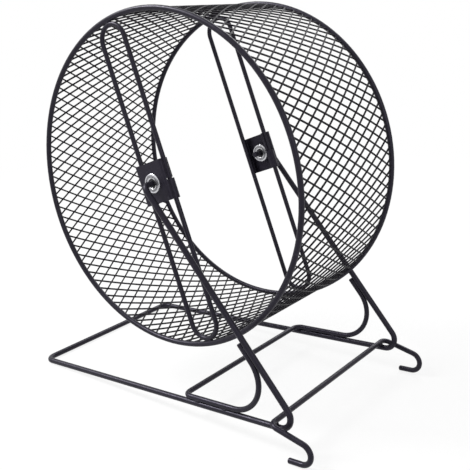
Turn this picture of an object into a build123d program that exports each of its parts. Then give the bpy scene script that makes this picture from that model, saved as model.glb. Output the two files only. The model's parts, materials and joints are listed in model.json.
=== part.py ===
from build123d import *
from math import acos, asin, atan2, cos, degrees, hypot, radians, sin, sqrt, tan
import os

# Rodent exercise wheel: an expanded-metal drum between two wire rims, carried by one
# long wire loop a side, turning on two small ball bearings in a bent-wire stand.
# Millimetres, +Z up, +X from the rear bar towards the hooks, the axle along Y.
# The origin is on the floor, under the middle of the whole object.

# Wheel
wheel_diameter = 280.5
wheel_width = 142.5
rim_wire = 4.5
loop_wire = 4.0
loop_leg_spacing = 26.7
loop_lean = 20.2
weld_gap = 0.05

# Expanded-metal drum
sheet_thickness = 1.2
strand_width = 1.3
diamonds_around = 45
diamonds_across = 4

# Bearing plates, folded from sheet round the legs of the loops
plate_height = 34.0
plate_thickness = 1.5
plate_standoff = 5.2
plate_fold_radius = 0.9
crimp_clearance = 0.05
tab_slit = 1.0
tab_wrap = 240.0
tab_overlap = 27.0
cope_lip = 0.6
collar_wall = 1.2
collar_depth = 2.0

# Ball bearings, built outward from their bore
bearing_bore = 8.0
bearing_width = 6.0
bearing_stand_out = 1.2
ball_diameter = 2.4
ball_count = 9
race_clearance = 0.05
race_backing = 0.75
ring_gap = 1.8
ring_edge = 0.3
shield_thickness = 0.3
shield_recess = 0.35
shield_gap = 0.25
cage_clearance = 0.35
cage_width = 3.6
pocket_clearance = 0.1
sleeve_recess = 0.5
seat_clearance = 0.02

# Stand
frame_wire = 5.0
rail_clearance = 40.25
stub_shoulder = 4.2
stub_past_bearing = 9.0
stub_bend = 5.5
strut_splay = 2.5
foot_along = 134.0
foot_bend = 10.0
rear_bar_along = 163.0
rear_corner_bend = 9.0
brace_wire = 4.5
brace_bar_along = 18.0
brace_bend = 27.5
brace_corner_bend = 7.0
brace_tail = 16.5
hook_wire = 4.5
hook_bar_setback = 4.2
hook_beside_rail = 2.0
hook_slope = 16.0
hook_bend = 8.5
hook_corner_bend = 6.0
hook_depth = 20.0
hook_tail = 11.5
cut_end_chamfer = 0.6

# Wheel sizes that follow
rim_radius = (wheel_diameter - rim_wire) / 2
rim_y = (wheel_width - rim_wire) / 2
loop_end_radius = loop_leg_spacing / 2
loop_half_leg = rim_radius - (rim_wire + loop_wire) / 2 - weld_gap - loop_end_radius
plate_half_width = (loop_leg_spacing + loop_wire) / 2
crimp_radius = loop_wire / 2 + crimp_clearance

# Bearing sizes that follow, with its place outward from the plane of a spoke loop
bearing_out = plate_standoff + plate_thickness + bearing_stand_out - bearing_width / 2
bearing_y = rim_y + bearing_out
bore_radius = bearing_bore / 2
race_radius = ball_diameter / 2 + race_clearance
pitch_radius = bore_radius + race_backing + race_radius
bearing_radius = pitch_radius + race_radius + race_backing
inner_land_radius = pitch_radius - ring_gap / 2
outer_land_radius = pitch_radius + ring_gap / 2
cage_bore = inner_land_radius + cage_clearance
cage_edge = outer_land_radius - cage_clearance
pocket_radius = ball_diameter / 2 + pocket_clearance

# Stand sizes that follow
axle_height = wheel_diameter / 2 + rail_clearance
strut_top_y = bearing_y + bearing_width / 2 + stub_shoulder + stub_bend
rail_y = strut_top_y - strut_splay
stub_end_y = bearing_y - bearing_width / 2 - stub_past_bearing
strut_length = hypot(foot_along, axle_height)
strut_angle = atan2(foot_along, axle_height)
foot_tangent = foot_bend * tan((radians(90) + strut_angle) / 2)
brace_above = (frame_wire + brace_wire) / 2 + weld_gap
brace_corner = (axle_height - brace_above * (1 + sin(strut_angle))) / cos(strut_angle)
brace_end = brace_corner - brace_bend * tan((radians(90) + strut_angle) / 2) - brace_tail
hook_above = (frame_wire + hook_wire) / 2 + weld_gap
hook_side = rail_y + hook_above + hook_beside_rail
hook_bar_along = foot_along - foot_tangent - hook_bar_setback
hook_corner_along = hook_bar_along + (hook_above + hook_depth) / tan(radians(hook_slope))
hook_centre_along = hook_corner_along - hook_bend / tan(radians(hook_slope / 2))
hook_tip_along = hook_centre_along - hook_tail

# The stand rests on its rear bar and on the tips of its two hooks, so its rails slope
tip_reach = rear_bar_along + hook_tip_along + cut_end_chamfer
tip_drop = hook_depth + hook_wire / 2
rail_slope = atan2(tip_drop, tip_reach) - asin(frame_wire / 2 / hypot(tip_reach, tip_drop))
axle_z = rear_bar_along * sin(rail_slope) + axle_height * cos(rail_slope) + frame_wire / 2
rear_reach = rear_bar_along * cos(rail_slope) - axle_height * sin(rail_slope) + frame_wire / 2
hook_swing = (axle_height + hook_depth - hook_bend) * sin(rail_slope)
front_reach = hook_centre_along * cos(rail_slope) + hook_swing + hook_bend + hook_wire / 2
axle_x = (rear_reach - front_reach) / 2

axle = Vector(axle_x, 0, axle_z)
lean = radians(loop_lean)
across_loop = Vector(cos(lean), 0, sin(lean))
along_loop = Vector(-sin(lean), 0, cos(lean))
axle_axis = Axis(axle, (0, 1, 0))
sides = {"near": -1, "far": 1}

os.makedirs("parts", exist_ok=True)


def on_stand(along, across, above):
    """A point measured along the rails from under the axle, across, and above the rails."""
    up = above - axle_height
    x = along * cos(rail_slope) - up * sin(rail_slope)
    z = along * sin(rail_slope) + up * cos(rail_slope)
    return axle + Vector(x, across, z)


def under_strut(distance):
    """Where the brace lies, this far down the strut from the axle."""
    along = distance * sin(strut_angle) - brace_above * cos(strut_angle)
    across = strut_top_y - strut_splay * distance / strut_length
    above = axle_height - distance * cos(strut_angle) - brace_above * sin(strut_angle)
    return along, across, above


def both_sides(half):
    """The near half of a wire's corners, then the same corners on the far side."""
    near = [on_stand(along, -across, above) for along, across, above in half]
    far = [on_stand(along, across, above) for along, across, above in reversed(half)]
    return near + far


def finish(piece, name):
    """Label a finished piece and write it out."""
    piece.part.label = name
    export_step(piece.part, f"parts/{name}.step")


def bent_wire(corners, bends, diameter):
    """One round wire along straight runs joined by tangent bends, with eased cut ends."""
    with BuildPart() as wire:
        with BuildLine() as route:
            FilletPolyline(*corners, radius=bends)
        with BuildSketch(Plane(origin=route.line @ 0, z_dir=route.line % 0)):
            Circle(diameter / 2)
        sweep(path=route.line)
        cut_ends = wire.faces().filter_by(GeomType.PLANE)
        chamfer(cut_ends.edges(), cut_end_chamfer)
    return wire


def facing_out(side, out):
    """The plane square to the axle, this far outside a loop's plane, facing outward."""
    centre = axle + Vector(0, side * (rim_y + out), 0)
    return Plane(origin=centre, x_dir=across_loop, z_dir=(0, side, 0))


def across_legs(side, up):
    """The plane across a loop's legs, this far above the axle: x across them, y outward."""
    centre = axle + Vector(0, side * rim_y, 0) + along_loop * up
    return Plane(origin=centre, x_dir=across_loop, z_dir=along_loop * side)


def turning_section(side, out):
    """The plane of a turned profile: x outward along the axle, y the radius."""
    centre = axle + Vector(0, side * (rim_y + out), 0)
    return Plane(origin=centre, x_dir=(0, side, 0), z_dir=(side, 0, 0))


def bearing_plate(side):
    """A sheet channel over both legs, with the bearing's seat, coped on one leg and
    crimped round the other by two tabs that wrap it in opposite directions."""
    leg = loop_leg_spacing / 2
    wall = plate_half_width - plate_thickness / 2
    face = plate_standoff + plate_thickness / 2
    tab_radius = crimp_radius + plate_thickness / 2
    tab_root = acos((wall - leg) / tab_radius)
    wall_end = tab_radius * sin(tab_root)
    coped_end = sqrt(crimp_radius**2 - (loop_wire / 2 - cope_lip) ** 2)
    slit_width = plate_half_width - leg + crimp_radius
    tab_height = (plate_height - tab_slit) / 2
    tab_middle = (plate_height + tab_slit) / 4
    seat_radius = bearing_radius + seat_clearance
    with BuildPart() as plate:
        with BuildSketch(across_legs(side, 0)):
            with BuildLine():
                FilletPolyline(
                    (-wall, coped_end),
                    (-wall, face),
                    (wall, face),
                    (wall, wall_end),
                    radius=plate_fold_radius + plate_thickness / 2,
                )
            trace(line_width=plate_thickness)
            with Locations((-leg, 0)):
                Circle(crimp_radius, mode=Mode.SUBTRACT)
        extrude(amount=plate_height / 2, both=True)
        with BuildSketch(across_legs(side, 0)):
            with Locations((plate_half_width, plate_standoff)):
                Rectangle(slit_width, plate_standoff, align=(Align.MAX, Align.MAX))
        extrude(amount=tab_slit / 2, both=True, mode=Mode.SUBTRACT)
        for way in (1, -1):
            with BuildSketch(across_legs(side, way * tab_middle)):
                with BuildLine():
                    start = degrees(tab_root) - way * tab_overlap
                    CenterArc((leg, 0), tab_radius, start, way * tab_wrap)
                trace(line_width=plate_thickness)
            extrude(amount=tab_height / 2, both=True)
        with BuildSketch(facing_out(side, plate_standoff - collar_depth)):
            Circle(seat_radius + collar_wall)
        extrude(amount=collar_depth)
        with BuildSketch(facing_out(side, plate_standoff - collar_depth)):
            Circle(seat_radius)
        extrude(amount=collar_depth + plate_thickness, mode=Mode.SUBTRACT)
    return plate


def race(side, inner_radius, outer_radius, edge):
    """A bearing ring with a ball groove, its outer or bore corners eased."""
    with BuildPart() as ring:
        with BuildSketch(turning_section(side, bearing_out)) as section:
            with Locations((0, inner_radius)):
                Rectangle(bearing_width, outer_radius - inner_radius, align=(Align.CENTER, Align.MIN))
            chamfer(section.vertices().group_by(Axis.Y)[edge], ring_edge)
            with Locations((0, pitch_radius)):
                Circle(race_radius, mode=Mode.SUBTRACT)
        revolve(axis=axle_axis)
    return ring


def plain_ring(side, out, inner_radius, outer_radius, width):
    """A plain ring round the axle, centred this far outside a loop's plane."""
    with BuildPart() as ring:
        with BuildSketch(turning_section(side, out)):
            with Locations((0, inner_radius)):
                Rectangle(width, outer_radius - inner_radius, align=(Align.CENTER, Align.MIN))
        revolve(axis=axle_axis)
    return ring


# Stand: one bent wire is both axle stubs, both struts, both rails and the rear bar
frame_half = [
    (0, stub_end_y, axle_height),
    (0, strut_top_y, axle_height),
    (foot_along, rail_y, 0),
    (-rear_bar_along, rail_y, 0),
]
frame_bends = [stub_bend, foot_bend, rear_corner_bend]
stand_frame = bent_wire(both_sides(frame_half), frame_bends + frame_bends[::-1], frame_wire)
finish(stand_frame, "stand_frame_wire")

# Stand: the brace lies under each strut, sweeps down onto the rail and crosses over
brace_half = [
    under_strut(brace_end),
    under_strut(brace_corner),
    (brace_bar_along, rail_y, brace_above),
]
brace_bends = [brace_bend, brace_corner_bend]
brace = bent_wire(both_sides(brace_half), brace_bends + brace_bends[::-1], brace_wire)
finish(brace, "brace_wire")

# Stand: the bar across the front runs out past both rails and curls back into hooks
hook_half = [
    (hook_tip_along, hook_side, -hook_depth),
    (hook_corner_along, hook_side, -hook_depth),
    (hook_bar_along, hook_side, hook_above),
]
hook_bends = [hook_bend, hook_corner_bend]
hooks = bent_wire(both_sides(hook_half), hook_bends + hook_bends[::-1], hook_wire)
finish(hooks, "hook_bar")

# Drum: a flat facet half a diamond wide holds one strand in each half row, and its mirror
# image beside it completes the diamonds, which repeat round the axle
facet_turn = 180.0 / diamonds_around
facet_half_turn = radians(facet_turn / 2)
drum_half_width = rim_y - rim_wire / 2 - weld_gap
half_diamond = rim_y / diamonds_across
facet_inside = rim_radius * cos(facet_half_turn) - sheet_thickness / 2
facet_outside = facet_inside + sheet_thickness
facet_width = 2 * facet_outside * tan(facet_half_turn)
strand_angle = degrees(atan2(half_diamond, facet_width))
strand_overrun = 3 * strand_width
strand_length = hypot(facet_width, half_diamond) + 2 * strand_overrun
facet_plane = Plane(
    origin=axle + Vector(facet_inside * cos(facet_half_turn), 0, facet_inside * sin(facet_half_turn)),
    x_dir=(-sin(facet_half_turn), 0, cos(facet_half_turn)),
    z_dir=(cos(facet_half_turn), 0, sin(facet_half_turn)),
)
first_edge = Plane(origin=axle, x_dir=(0, 1, 0), z_dir=(0, 0, -1))
edge_turn = radians(facet_turn)
last_edge = Plane(origin=axle, x_dir=(0, 1, 0), z_dir=(-sin(edge_turn), 0, cos(edge_turn)))
with BuildPart() as facet:
    with BuildSketch(facet_plane):
        for row in range(2 * diamonds_across):
            slope = strand_angle if row % 2 == 0 else -strand_angle
            with Locations((0, -rim_y + (row + 0.5) * half_diamond)):
                Rectangle(strand_length, strand_width, rotation=slope)
        Rectangle(facet_width + sheet_thickness, 2 * drum_half_width, mode=Mode.INTERSECT)
    extrude(amount=sheet_thickness)
    split(bisect_by=first_edge, keep=Keep.BOTTOM)
    split(bisect_by=last_edge, keep=Keep.BOTTOM)


def lies_on(face, plane, tolerance=1e-4):
    """Whether a flat face lies on a plane through the axle."""
    heights = [plane.to_local_coords(Vector(*corner)).Z for corner in face.vertices()]
    return max(abs(height) for height in heights) < tolerance


cut_faces = [face for face in facet.faces() if lies_on(face, first_edge) or lies_on(face, last_edge)]
skin = [face for face in facet.faces() if face not in cut_faces]
skin += [face.mirror(last_edge) for face in skin]
whole_skin = []
for turn in range(diamonds_around):
    whole_skin += [face.rotate(axle_axis, turn * 2 * facet_turn) for face in skin]
with BuildPart() as drum:
    add(Solid(Shell(whole_skin)))
finish(drum, "mesh_drum")

for name, side in sides.items():
    # Rim: a round hoop at each end of the drum
    with BuildPart() as rim:
        with BuildSketch(turning_section(side, 0)):
            with Locations((0, rim_radius)):
                Circle(rim_wire / 2)
        revolve(axis=axle_axis)
    finish(rim, f"{name}_rim")

    # Spoke loop: two long legs with a half-round bend inside the rim at each end
    with BuildPart() as spoke_loop:
        with BuildLine(facing_out(side, 0)) as route:
            for end in (1, -1):
                x = end * loop_end_radius
                Line((x, -end * loop_half_leg), (x, end * loop_half_leg))
                CenterArc((0, end * loop_half_leg), loop_end_radius, 90 - end * 90, 180)
        loop_line = route.wires()[0]
        with BuildSketch(Plane(origin=loop_line @ 0, z_dir=loop_line % 0)):
            Circle(loop_wire / 2)
        sweep(path=loop_line)
    finish(spoke_loop, f"{name}_spoke_loop")

    finish(bearing_plate(side), f"{name}_bearing_plate")

    # Bearing: both rings, a shield pressed in at each face, and the bush on the stub
    finish(race(side, outer_land_radius, bearing_radius, -1), f"{name}_bearing_outer_ring")
    finish(race(side, bore_radius, inner_land_radius, 0), f"{name}_bearing_inner_ring")
    shield_out = (bearing_width - shield_thickness) / 2 - shield_recess
    with BuildPart() as shields:
        for face in (1, -1):
            out = bearing_out + face * shield_out
            shield_bore = inner_land_radius + shield_gap
            shield_edge = outer_land_radius - seat_clearance
            add(plain_ring(side, out, shield_bore, shield_edge, shield_thickness).part)
    finish(shields, f"{name}_bearing_shields")
    sleeve_bore = frame_wire / 2 + seat_clearance
    sleeve_outside = bore_radius - seat_clearance
    sleeve_width = bearing_width - 2 * sleeve_recess
    finish(plain_ring(side, bearing_out, sleeve_bore, sleeve_outside, sleeve_width), f"{name}_axle_sleeve")

    # Balls run between the grooves, spaced by a cage with a pocket round each
    with BuildPart(facing_out(side, bearing_out)) as balls:
        with PolarLocations(pitch_radius, ball_count):
            Sphere(ball_diameter / 2)
    finish(balls, f"{name}_bearing_balls")
    with BuildPart() as cage:
        add(plain_ring(side, bearing_out, cage_bore, cage_edge, cage_width).part)
        with Locations(facing_out(side, bearing_out)):
            with PolarLocations(pitch_radius, ball_count):
                Cylinder(pocket_radius, ring_gap, rotation=(0, 90, 0), mode=Mode.SUBTRACT)
    finish(cage, f"{name}_bearing_cage")
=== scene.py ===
import json
from math import cos, pi, radians, sin

import bmesh
import bpy
from mathutils import Matrix, Vector, noise


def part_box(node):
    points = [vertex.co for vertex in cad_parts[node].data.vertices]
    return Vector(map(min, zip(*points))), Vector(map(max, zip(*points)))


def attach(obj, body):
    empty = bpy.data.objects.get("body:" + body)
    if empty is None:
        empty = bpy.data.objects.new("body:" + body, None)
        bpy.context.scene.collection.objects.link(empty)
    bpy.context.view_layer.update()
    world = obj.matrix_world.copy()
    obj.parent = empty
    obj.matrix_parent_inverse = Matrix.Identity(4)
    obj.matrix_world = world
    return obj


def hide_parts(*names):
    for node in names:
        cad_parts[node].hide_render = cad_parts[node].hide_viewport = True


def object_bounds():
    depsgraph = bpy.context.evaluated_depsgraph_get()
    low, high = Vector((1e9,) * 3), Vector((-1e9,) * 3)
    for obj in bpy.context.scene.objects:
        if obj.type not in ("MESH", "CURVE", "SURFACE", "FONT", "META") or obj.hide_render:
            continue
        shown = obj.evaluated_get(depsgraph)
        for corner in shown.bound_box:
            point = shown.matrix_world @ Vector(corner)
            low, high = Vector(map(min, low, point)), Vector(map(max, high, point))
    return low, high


# Rodent exercise wheel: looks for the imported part, with the full expanded-metal lattice,
# the weld beads, the coated and polished metals, a white stage and the photo's camera.
# Metres and radians, in the part's own frame.

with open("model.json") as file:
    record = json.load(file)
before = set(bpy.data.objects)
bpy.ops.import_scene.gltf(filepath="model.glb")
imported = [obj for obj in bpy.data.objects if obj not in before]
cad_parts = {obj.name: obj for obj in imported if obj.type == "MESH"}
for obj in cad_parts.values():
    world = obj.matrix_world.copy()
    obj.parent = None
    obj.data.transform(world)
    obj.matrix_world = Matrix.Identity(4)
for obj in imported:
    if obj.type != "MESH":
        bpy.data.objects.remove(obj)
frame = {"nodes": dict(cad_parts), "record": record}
cad_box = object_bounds()

# Wheel, read from the part
rim_low, rim_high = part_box("near_rim")
RIM_WIRE = rim_high.y - rim_low.y
RIM_RADIUS = (rim_high.x - rim_low.x - RIM_WIRE) / 2
RIM_Y = -(rim_high.y + rim_low.y) / 2
AXLE = Vector(((rim_high.x + rim_low.x) / 2, 0, (rim_high.z + rim_low.z) / 2))
LOOP_LEAN = radians(20.2)

# Expanded metal, at the pitch of the real sheet
DIAMONDS_AROUND = 90
DIAMONDS_ACROSS = 8
SHEET_THICKNESS = 0.0012
KNOT_HALF_AROUND = 0.00075
KNOT_HALF_ACROSS = 0.00133
STRAND_BEVEL = 0.00028
STRAND_BEVEL_SEGMENTS = 2
STRAND_SHARP_ANGLE = radians(40)

# Stand, measured along the rails from under the axle and above the rails
RAIL_SLOPE = radians(3.921)
AXLE_HEIGHT = 0.1805
STRUT_ANGLE = radians(36.59)
FRAME_WIRE = 0.005
RAIL_Y = 0.0841
STRUT_WELD_Y = 0.0849
STRUT_WELD_DOWN = 0.152
BRACE_WELDS_ALONG = (0.032, 0.060)
HOOK_BAR_ALONG = 0.1099

# Weld beads: half sizes along, across and out of each joint, then how uneven they are
RIM_WELD = (0.0042, 0.0016, 0.0011)
BRACE_WELD = (0.0045, 0.0021, 0.001)
STRUT_WELD = (0.004, 0.002, 0.001)
HOOK_BAR_WELD = (0.0026, 0.0024, 0.0011)
BEAD_SUBDIVISIONS = 3
BEAD_LUMPS = 1.7
BEAD_SWELL = 0.22
BEAD_NOISE_STEP = 7.3

# Camera
CAMERA_TARGET = Vector((0.01057, 0, 0.17254))
CAMERA_AZIMUTH = radians(39.0)
CAMERA_ELEVATION = radians(13.49)
CAMERA_ROLL = radians(-2.14)
CAMERA_DISTANCE = 0.6723
CAMERA_NEAREST = 0.01
SENSOR_WIDTH = 36.0
LENS = 58.75
SHIFT = (0.0196, -0.0920)

# Colours and relief that several materials share
WHITE = (1.0, 1.0, 1.0, 1.0)
COAT_SHEEN = (0.84, 0.79, 1.0, 1.0)
FINE_RELIEF = 0.00002

# Sockets of Blender's colour mix, which share their names with other sockets
MIX_FIRST_COLOUR = 6
MIX_SECOND_COLOUR = 7
MIX_RESULT_COLOUR = 2

# Stage and lamps
FLOOR_HALF_WIDTH = 6.0
FLOOR_CELLS = 8
FLOOR_DARKER = (0.9, 0.9, 0.9)
FLOOR_LIGHTER = (0.92, 0.92, 0.92)
FLOOR_GLOW = 0.86
FLOOR_FADE = (0.35, 1.1)
WORLD_LIGHT = 0.26
KEY_LAMP = {"at": (-1.6, -1.0, 2.0), "size": 0.9, "watts": 85.0}
FILL_LAMP = {"at": (1.9, -0.9, 1.0), "size": 1.2, "watts": 9.0}
BACK_LAMP = {"at": (-0.3, 1.8, 1.8), "size": 1.2, "watts": 22.0}


def direction(azimuth, elevation):
    """The unit vector from the part towards a viewer at this azimuth and elevation."""
    level = cos(elevation)
    return Vector((sin(azimuth) * level, -cos(azimuth) * level, sin(elevation)))


def on_stand(along, across, above):
    """A point measured along the rails from under the axle, across, and above the rails."""
    up = above - AXLE_HEIGHT
    x = along * cos(RAIL_SLOPE) - up * sin(RAIL_SLOPE)
    z = along * sin(RAIL_SLOPE) + up * cos(RAIL_SLOPE)
    return AXLE + Vector((x, across, z))


def ring_point(angle, radius, across):
    """A point on a circle round the axle."""
    return AXLE + Vector((radius * cos(angle), across, radius * sin(angle)))


def shade(colour, level):
    """A colour made darker or lighter."""
    return tuple(part * level for part in colour)


class NodeTree:
    """The nodes of a material or of the world, built with short calls."""

    def __init__(self, owner):
        owner.use_nodes = True
        self.owner = owner
        self.nodes = owner.node_tree.nodes
        self.links = owner.node_tree.links

    def feed(self, node, inputs):
        """Set or link inputs by name, with spaces written as underscores."""
        for name, value in inputs.items():
            socket = node.inputs[name.replace("_", " ")]
            if isinstance(value, bpy.types.NodeSocket):
                self.links.new(value, socket)
            else:
                socket.default_value = value

    def add(self, kind, settings=None, **inputs):
        """A new node with its properties set and its inputs set or linked."""
        node = self.nodes.new(kind)
        for name, value in (settings or {}).items():
            setattr(node, name, value)
        self.feed(node, inputs)
        return node

    def surface(self, **inputs):
        """Set or link inputs of the material's main shader."""
        self.feed(self.nodes["Principled BSDF"], inputs)

    def place(self, offset=(0, 0, 0)):
        """The part's own coordinates, counted from a point."""
        coordinates = self.add("ShaderNodeTexCoord").outputs["Object"]
        minus = Vector(offset) * -1
        return self.add("ShaderNodeMapping", Vector=coordinates, Location=minus).outputs["Vector"]

    def noise(self, place, scale, detail=2.0):
        """Even noise from 0 to 1 at this many features a metre."""
        return self.add("ShaderNodeTexNoise", Vector=place, Scale=scale, Detail=detail).outputs["Fac"]

    def spread(self, value, low, high, start=0.35, end=0.65):
        """The span of a value from start to end, stretched over a range from low to high."""
        inputs = {"From_Min": start, "From_Max": end, "To_Min": low, "To_Max": high}
        return self.add("ShaderNodeMapRange", Value=value, **inputs).outputs["Result"]

    def ramp(self, value, first, last, start, end):
        """The span of a value from start to end, coloured from the first colour to the last."""
        node = self.add("ShaderNodeValToRGB", Fac=value)
        colours = zip(node.color_ramp.elements, (start, end), (first, last))
        for element, position, colour in colours:
            element.position = position
            element.color = (*colour, 1)
        return node.outputs["Color"]

    def blend(self, share, under, over):
        """A plain colour laid over a linked one by a share from 0 to 1."""
        node = self.add("ShaderNodeMix", {"data_type": "RGBA"}, Factor=share)
        self.links.new(under, node.inputs[MIX_FIRST_COLOUR])
        node.inputs[MIX_SECOND_COLOUR].default_value = (*over, 1)
        return node.outputs[MIX_RESULT_COLOUR]

    def bump(self, height, strength, distance, under=None):
        """Bump in metres of relief, laid over another bump where one is given."""
        inputs = {"Height": height, "Strength": strength, "Distance": distance}
        if under is not None:
            inputs["Normal"] = under
        return self.add("ShaderNodeBump", **inputs).outputs["Normal"]

    def combine(self, operation, first, second):
        """Two values put together by one maths operation."""
        node = self.add("ShaderNodeMath", {"operation": operation})
        for value, socket in zip((first, second), node.inputs):
            self.links.new(value, socket)
        return node.outputs["Value"]

    def in_view(self):
        """1 for rays from the camera, gloss and glass, and 0 for the rays that only light."""
        path = self.add("ShaderNodeLightPath")
        seen = path.outputs["Is Camera Ray"]
        for ray in ("Is Glossy Ray", "Is Transmission Ray"):
            seen = self.combine("MAXIMUM", seen, path.outputs[ray])
        return seen


def powder_coat(name, base, scuffed, roughness, peel, gloss_level):
    """Satin black powder coat: orange peel, faint mottling, dull scuffs and a violet sheen."""
    tree = NodeTree(bpy.data.materials.new(name))
    place = tree.place()
    dark = shade(base, level=0.84)
    light = shade(base, level=1.2)
    mottling = tree.noise(place, scale=45.0, detail=4.0)
    mottled = tree.ramp(mottling, dark, light, start=0.32, end=0.7)
    wear = tree.noise(place, scale=210.0, detail=5.0)
    scuffs = tree.spread(wear, low=0.0, high=0.55, start=0.63, end=0.72)
    gloss = tree.noise(place, scale=320.0, detail=3.0)
    fine_peel = peel / 3
    coarse = tree.bump(tree.noise(place, scale=260.0), strength=0.5, distance=peel)
    fine_noise = tree.noise(place, scale=1500.0)
    fine = tree.bump(fine_noise, strength=0.4, distance=fine_peel, under=coarse)
    tree.surface(
        Base_Color=tree.blend(scuffs, mottled, scuffed),
        Roughness=tree.spread(gloss, *roughness),
        Normal=fine,
        Specular_IOR_Level=gloss_level,
        Specular_Tint=COAT_SHEEN,
    )
    return tree.owner


def turned_steel(name, base, roughness, lines_per_metre):
    """Bright bearing steel with the fine rings that turning and grinding leave."""
    tree = NodeTree(bpy.data.materials.new(name))
    place = tree.place(AXLE)
    rings = tree.add(
        "ShaderNodeTexWave",
        {"wave_type": "RINGS", "rings_direction": "Y"},
        Vector=place,
        Scale=lines_per_metre,
        Distortion=0.6,
        Detail=2.0,
    ).outputs["Fac"]
    smudge = tree.noise(place, scale=240.0, detail=4.0)
    dark = shade(base, level=0.72)
    tree.surface(
        Base_Color=tree.ramp(smudge, dark, base, start=0.3, end=0.62),
        Roughness=tree.spread(smudge, *roughness),
        Normal=tree.bump(rings, strength=0.25, distance=FINE_RELIEF),
        Metallic=1.0,
    )
    return tree.owner


def pressed_steel(name, base, roughness):
    """Dull pressed sheet steel with fine pits and oil stains."""
    tree = NodeTree(bpy.data.materials.new(name))
    place = tree.place()
    stain = tree.noise(place, scale=330.0, detail=4.0)
    dark = shade(base, level=0.6)
    pits = tree.noise(place, scale=3000.0)
    tree.surface(
        Base_Color=tree.ramp(stain, dark, base, start=0.35, end=0.65),
        Roughness=tree.spread(stain, *roughness),
        Normal=tree.bump(pits, strength=0.3, distance=FINE_RELIEF),
        Metallic=0.9,
    )
    return tree.owner


def moulded_nylon(name, base):
    """Black nylon with a fine moulded grain."""
    tree = NodeTree(bpy.data.materials.new(name))
    place = tree.place()
    light = shade(base, level=1.6)
    clouds = tree.noise(place, scale=500.0, detail=3.0)
    gloss = tree.noise(place, scale=900.0)
    grain = tree.noise(place, scale=4000.0)
    tree.surface(
        Base_Color=tree.ramp(clouds, base, light, start=0.35, end=0.7),
        Roughness=tree.spread(gloss, low=0.42, high=0.58),
        Normal=tree.bump(grain, strength=0.3, distance=FINE_RELIEF),
    )
    return tree.owner


def white_floor(name):
    """A white floor that keeps a faint shadow of the object."""
    tree = NodeTree(bpy.data.materials.new(name))
    place = tree.place()
    clouds = tree.noise(place, scale=3.0)
    tint = tree.ramp(clouds, FLOOR_DARKER, FLOOR_LIGHTER, start=0.3, end=0.7)
    tree.surface(Base_Color=tint, Roughness=0.9)
    reach = tree.add("ShaderNodeVectorMath", {"operation": "LENGTH"}, Vector=place).outputs["Value"]
    glow = tree.spread(reach, FLOOR_GLOW, 1.0, *FLOOR_FADE)
    mix = tree.add("ShaderNodeMixShader")
    share, plain, glowing = mix.inputs
    tree.links.new(tree.combine("MULTIPLY", tree.in_view(), glow), share)
    tree.links.new(tree.nodes["Principled BSDF"].outputs["BSDF"], plain)
    emission = tree.add("ShaderNodeEmission", Color=WHITE, Strength=1.0)
    tree.links.new(emission.outputs["Emission"], glowing)
    tree.feed(tree.nodes["Material Output"], {"Surface": mix.outputs["Shader"]})
    return tree.owner


def new_piece(name, mesh, material, smooth=True):
    """A new object from a finished bmesh."""
    bmesh.ops.recalc_face_normals(mesh, faces=mesh.faces)
    data = bpy.data.meshes.new(name)
    mesh.to_mesh(data)
    mesh.free()
    data.materials.append(material)
    if smooth:
        data.shade_smooth()
    else:
        data.shade_flat()
    piece = bpy.data.objects.new(name, data)
    bpy.context.scene.collection.objects.link(piece)
    return piece


def add_expanded_metal(material):
    """The whole lattice: rhombic knots joined by slanting strands, with its ends in the rims."""
    mesh = bmesh.new()
    columns = 2 * DIAMONDS_ACROSS
    column_width = 2 * RIM_Y / columns
    half_turn = pi / DIAMONDS_AROUND
    half_around = KNOT_HALF_AROUND / RIM_RADIUS
    radii = (RIM_RADIUS + SHEET_THICKNESS / 2, RIM_RADIUS - SHEET_THICKNESS / 2)
    ways = {"east": (1, 0), "north": (0, 1), "west": (-1, 0), "south": (0, -1)}

    def knot(column, place):
        """The corners of one knot, each as its outer and inner vertex."""
        angle = (2 * place + column % 2) * half_turn
        across = column * column_width - RIM_Y
        corners = {}
        for way, (around, along) in ways.items():
            turned = angle + around * half_around
            y = across + along * KNOT_HALF_ACROSS
            corners[way] = [mesh.verts.new(ring_point(turned, radius, y)) for radius in radii]
        return corners

    def wall(first, second):
        """A side wall between two corners."""
        mesh.faces.new((first[0], second[0], second[1], first[1]))

    def plates(*corners):
        """The outer and inner face over four corners."""
        for side in (0, 1):
            mesh.faces.new([corner[side] for corner in corners])

    knots = {}
    for column in range(columns + 1):
        for place in range(DIAMONDS_AROUND):
            knots[column, place] = knot(column, place)
    for (column, place), here in knots.items():
        plates(here["east"], here["north"], here["west"], here["south"])
        if column == 0:
            wall(here["west"], here["south"])
            wall(here["south"], here["east"])
        if column == columns:
            wall(here["east"], here["north"])
            wall(here["north"], here["west"])
            continue
        ahead = knots[column + 1, (place + column % 2) % DIAMONDS_AROUND]
        plates(here["east"], ahead["south"], ahead["west"], here["north"])
        wall(here["east"], ahead["south"])
        wall(here["north"], ahead["west"])
        behind = knots[column + 1, (place - 1 + column % 2) % DIAMONDS_AROUND]
        plates(here["north"], behind["east"], behind["south"], here["west"])
        wall(here["north"], behind["east"])
        wall(here["west"], behind["south"])
    piece = new_piece("expanded_mesh", mesh, material)
    bevel = piece.modifiers.new("eased_strands", "BEVEL")
    bevel.width = STRAND_BEVEL
    bevel.segments = STRAND_BEVEL_SEGMENTS
    bevel.limit_method = "ANGLE"
    bevel.angle_limit = STRAND_SHARP_ANGLE
    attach(piece, "wheel")
    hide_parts("mesh_drum")


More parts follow.
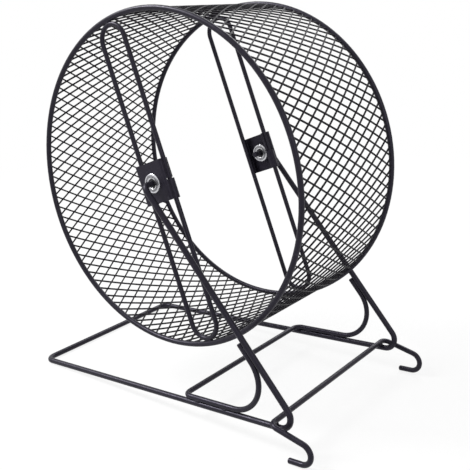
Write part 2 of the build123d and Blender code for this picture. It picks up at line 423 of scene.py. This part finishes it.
def add_beads(name, body, spots, material):
    """Weld beads, each an uneven lump lying along one direction at a joint of two wires."""
    mesh = bmesh.new()
    for number, (centre, along, half_sizes) in enumerate(spots):
        turn = along.to_track_quat("X", "Z").to_matrix().to_4x4()
        grow = Matrix.Diagonal((*half_sizes, 1))
        ball = bmesh.ops.create_icosphere(mesh, subdivisions=BEAD_SUBDIVISIONS, radius=1)
        lump = ball["verts"]
        noise_start = Vector((number * BEAD_NOISE_STEP, 0, 0))
        for vertex in lump:
            swell = noise.noise(vertex.co * BEAD_LUMPS + noise_start)
            vertex.co = vertex.co * (1 + BEAD_SWELL * swell)
        bmesh.ops.transform(mesh, matrix=Matrix.Translation(centre) @ turn @ grow, verts=lump)
    piece = new_piece(name, mesh, material)
    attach(piece, body)


def rim_weld_spots(side):
    """Where a spoke loop meets its rim, at the top and at the bottom."""
    radius = RIM_RADIUS - RIM_WIRE / 2
    spots = []
    for end in (0, pi):
        angle = pi / 2 + LOOP_LEAN + end
        tangent = Vector((-sin(angle), 0, cos(angle)))
        centre = ring_point(angle, radius, side * RIM_Y)
        spots.append((centre, tangent, RIM_WELD))
    return spots


def stand_weld_spots():
    """Where the brace and the hook bar are welded to the rails and struts."""
    along_rail = Vector((cos(RAIL_SLOPE), 0, sin(RAIL_SLOPE)))
    down_strut = on_stand(sin(STRUT_ANGLE), 0, -cos(STRUT_ANGLE)) - on_stand(0, 0, 0)
    contact = FRAME_WIRE / 2
    strut_along = STRUT_WELD_DOWN * sin(STRUT_ANGLE) - contact * cos(STRUT_ANGLE)
    strut_above = AXLE_HEIGHT - STRUT_WELD_DOWN * cos(STRUT_ANGLE) - contact * sin(STRUT_ANGLE)
    spots = []
    for side in (-1, 1):
        for along in BRACE_WELDS_ALONG:
            spots.append((on_stand(along, side * RAIL_Y, contact), along_rail, BRACE_WELD))
        spot = on_stand(strut_along, side * STRUT_WELD_Y, strut_above)
        spots.append((spot, down_strut, STRUT_WELD))
        spot = on_stand(HOOK_BAR_ALONG, side * RAIL_Y, contact)
        spots.append((spot, along_rail, HOOK_BAR_WELD))
    return spots


def add_floor():
    """The floor, level with the lowest wires."""
    mesh = bmesh.new()
    bmesh.ops.create_grid(
        mesh, x_segments=FLOOR_CELLS, y_segments=FLOOR_CELLS, size=FLOOR_HALF_WIDTH
    )
    floor = new_piece("floor", mesh, white_floor("white_floor"), smooth=False)
    lowest, highest = cad_box
    floor.location.z = lowest[2]


def add_world():
    """A white surround, seen as white and lighting the part softly."""
    world = bpy.data.worlds.new("surround")
    tree = NodeTree(world)
    glow = tree.spread(tree.in_view(), low=WORLD_LIGHT, high=1.0, start=0.0, end=1.0)
    tree.feed(tree.nodes["Background"], {"Color": WHITE, "Strength": glow})
    bpy.context.scene.world = world


def add_lamp(name, lamp):
    """A soft square lamp that points at the middle of the part."""
    light = bpy.data.lights.new(name, "AREA")
    light.energy = lamp["watts"]
    light.size = lamp["size"]
    holder = bpy.data.objects.new(name, light)
    holder.location = lamp["at"]
    towards = CAMERA_TARGET - Vector(lamp["at"])
    holder.rotation_euler = towards.to_track_quat("-Z", "Y").to_euler()
    bpy.context.scene.collection.objects.link(holder)


def add_camera():
    """The photo's viewpoint."""
    back = direction(CAMERA_AZIMUTH, CAMERA_ELEVATION)
    data = bpy.data.cameras.new("photo_view")
    data.sensor_width = SENSOR_WIDTH
    data.lens = LENS
    data.shift_x, data.shift_y = SHIFT
    data.clip_start = CAMERA_NEAREST
    camera = bpy.data.objects.new("photo_view", data)
    level = back.to_track_quat("Z", "Y").to_matrix()
    camera.rotation_euler = (level @ Matrix.Rotation(CAMERA_ROLL, 3, "Z")).to_euler()
    camera.location = CAMERA_TARGET + back * CAMERA_DISTANCE
    bpy.context.scene.collection.objects.link(camera)
    bpy.context.scene.camera = camera


# Materials
wire_coat = powder_coat(
    "wire_coat",
    base=(0.008, 0.0072, 0.0115),
    scuffed=(0.026, 0.024, 0.033),
    roughness=(0.32, 0.46),
    peel=0.00006,
    gloss_level=0.26,
)
sheet_coat = powder_coat(
    "sheet_coat",
    base=(0.0095, 0.0082, 0.0135),
    scuffed=(0.028, 0.026, 0.035),
    roughness=(0.38, 0.52),
    peel=0.00005,
    gloss_level=0.24,
)
mesh_coat = powder_coat(
    "mesh_coat",
    base=(0.0025, 0.0023, 0.003),
    scuffed=(0.009, 0.0085, 0.011),
    roughness=(0.48, 0.62),
    peel=0.00003,
    gloss_level=0.14,
)
ring_steel = turned_steel(
    "ring_steel", base=(0.66, 0.66, 0.69), roughness=(0.2, 0.36), lines_per_metre=900.0
)
ball_steel = turned_steel(
    "ball_steel", base=(0.8, 0.8, 0.79), roughness=(0.05, 0.12), lines_per_metre=400.0
)
shield_steel = pressed_steel("shield_steel", base=(0.36, 0.36, 0.38), roughness=(0.34, 0.5))
cage_steel = pressed_steel("cage_steel", base=(0.45, 0.43, 0.4), roughness=(0.3, 0.45))
bush_nylon = moulded_nylon("bush_nylon", base=(0.015, 0.015, 0.017))

# The part's own pieces, each with its material
finishes = {
    "coated_wire": wire_coat,
    "coated_sheet": sheet_coat,
    "bearing_ring": ring_steel,
    "bearing_shield": shield_steel,
    "bearing_ball": ball_steel,
    "bearing_cage": cage_steel,
    "bush_plastic": bush_nylon,
}
for subpart in frame["record"]["subparts"]:
    node = frame["nodes"][subpart["node"]]
    for slot in node.material_slots:
        slot.material = finishes[subpart["material_slot"]]

# The lattice and the weld beads
add_expanded_metal(mesh_coat)
for side_name, side in (("near", -1), ("far", 1)):
    add_beads(f"{side_name}_rim_welds", "wheel", rim_weld_spots(side), wire_coat)
add_beads("stand_welds", "stand", stand_weld_spots(), wire_coat)

# Stage, lamps and camera
add_floor()
add_world()
add_lamp("key_lamp", KEY_LAMP)
add_lamp("fill_lamp", FILL_LAMP)
add_lamp("back_lamp", BACK_LAMP)
add_camera()
bpy.context.scene.view_settings.view_transform = "Standard"
